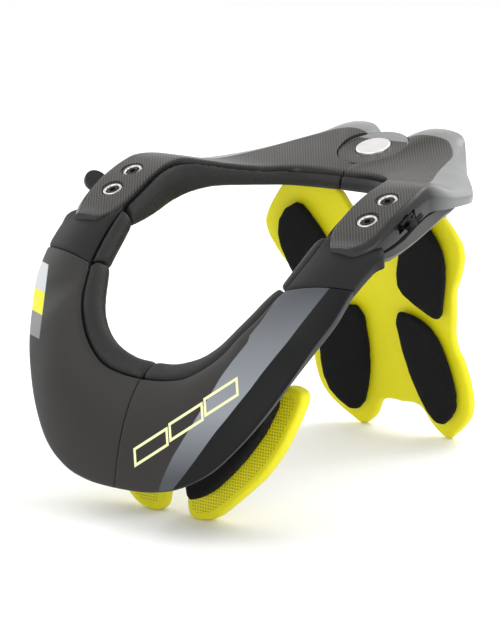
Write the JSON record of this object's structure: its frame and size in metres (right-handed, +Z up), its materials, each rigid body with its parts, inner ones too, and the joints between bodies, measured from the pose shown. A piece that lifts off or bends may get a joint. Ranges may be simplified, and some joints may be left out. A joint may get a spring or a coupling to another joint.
{
  "type": "motocross neck brace",
  "caption": "Rigid collar worn round the neck under a helmet, opening on a rear pivot, with padded edge, back support plate and chest feet.",
  "frame": {"origin": "middle of the footprint, on the floor", "axes": "+Z up, -Y the front of the wearer, +X the wearer's left"},
  "size_m": [0.2576, 0.3124, 0.21],
  "materials": {
    "carbon": "ribbed carbon-look panel with a satin silver-grey rim",
    "shell_plastic": "matt charcoal",
    "dark_plastic": "matt near-black",
    "grey_plastic": "satin grey",
    "edge_pad": "fine textured soft edge",
    "foam_pad": "black foam",
    "yellow_plastic": "fluorescent yellow",
    "silver": "satin silver disc",
    "screw_steel": "bright ring and dark hex head"
  },
  "bodies": {
    "rear_core": {"rear_hinge_plate": "carbon", "pivot_cap": "silver", "hinge_bracket": "dark_plastic", "stem_left": "dark_plastic", "stem_right": "dark_plastic", "back_support": "yellow_plastic", "back_pad_upper_left": "foam_pad", "back_pad_upper_right": "foam_pad", "back_pad_lower_left": "foam_pad", "back_pad_lower_right": "foam_pad"},
    "left_half": {"wing_left": "carbon", "screw_rear_left": "screw_steel", "screw_front_left": "screw_steel", "under_plate_left": "grey_plastic", "shoulder_pad_left": "foam_pad", "bridge_left": "dark_plastic", "shell_left": "shell_plastic", "rear_pad_left": "edge_pad", "side_pad_left": "edge_pad", "front_pad_left": "edge_pad", "chest_support_left": "yellow_plastic", "chest_pad_left": "foam_pad"},
    "right_half": {"wing_right": "carbon", "screw_rear_right": "screw_steel", "screw_front_right": "screw_steel", "under_plate_right": "grey_plastic", "shoulder_pad_right": "foam_pad", "bridge_right": "dark_plastic", "shell_right": "shell_plastic", "rear_pad_right": "edge_pad", "side_pad_right": "edge_pad", "front_pad_right": "edge_pad", "chest_support_right": "yellow_plastic", "chest_pad_right": "foam_pad"},
    "release_left": {"lever_left": "dark_plastic"},
    "release_right": {"lever_right": "dark_plastic"}
  },
  "joints": [
    {"name": "left_swing", "type": "hinge", "parent": "rear_core", "child": "left_half", "pos_m": [0, 0.10931, 0.19928], "axis": [0, -0.3206, 0.9472], "range_deg": [0, 16]},
    {"name": "right_swing", "type": "hinge", "parent": "rear_core", "child": "right_half", "pos_m": [0, 0.10931, 0.19928], "axis": [0, -0.3206, 0.9472], "range_deg": [-16, 0]},
    {"name": "left_release", "type": "hinge", "parent": "left_half", "child": "release_left", "pos_m": [0.11544, -0.02569, 0.1819], "axis": [0, 0.8997, 0.4366], "range_deg": [-30, 0], "stiffness_Nm_per_rad": 0.05},
    {"name": "right_release", "type": "hinge", "parent": "right_half", "child": "release_right", "pos_m": [-0.11544, -0.02569, 0.1819], "axis": [0, 0.8997, 0.4366], "range_deg": [0, 30], "stiffness_Nm_per_rad": 0.05}
  ]
}
